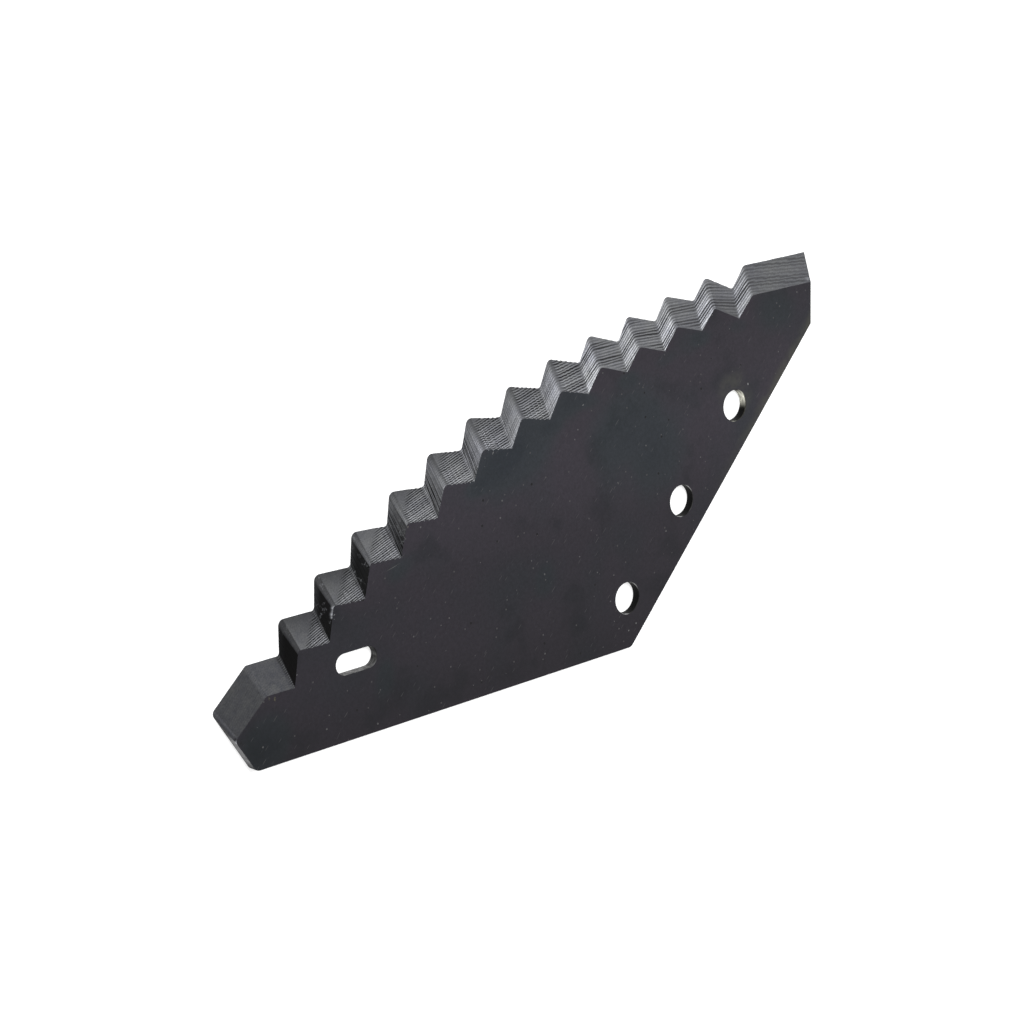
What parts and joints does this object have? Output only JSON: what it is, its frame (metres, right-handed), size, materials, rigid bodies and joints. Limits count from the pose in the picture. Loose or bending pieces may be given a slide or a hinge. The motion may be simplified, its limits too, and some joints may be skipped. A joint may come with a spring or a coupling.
{
  "type": "forage wagon knife",
  "caption": "Flat steel knife plate for a forage wagon, with a curved serrated cutting edge milled into its front face, a row of bolt holes and a slot near its narrow end.",
  "frame": {"origin": "centre of the middle bolt hole on the flat back face", "axes": "+X along the bolt row, away from the narrow end; +Y towards the serrated edge; +Z square out of the front face, where the bevel is milled"},
  "size_m": [0.4287, 0.2187, 0.005],
  "materials": {
    "blackened_steel": "dark heat-treated scale on the faces, bare milled grey on the bevel"
  },
  "bodies": {
    "root": {"knife_blade": "blackened_steel"}
  },
  "joints": []
}
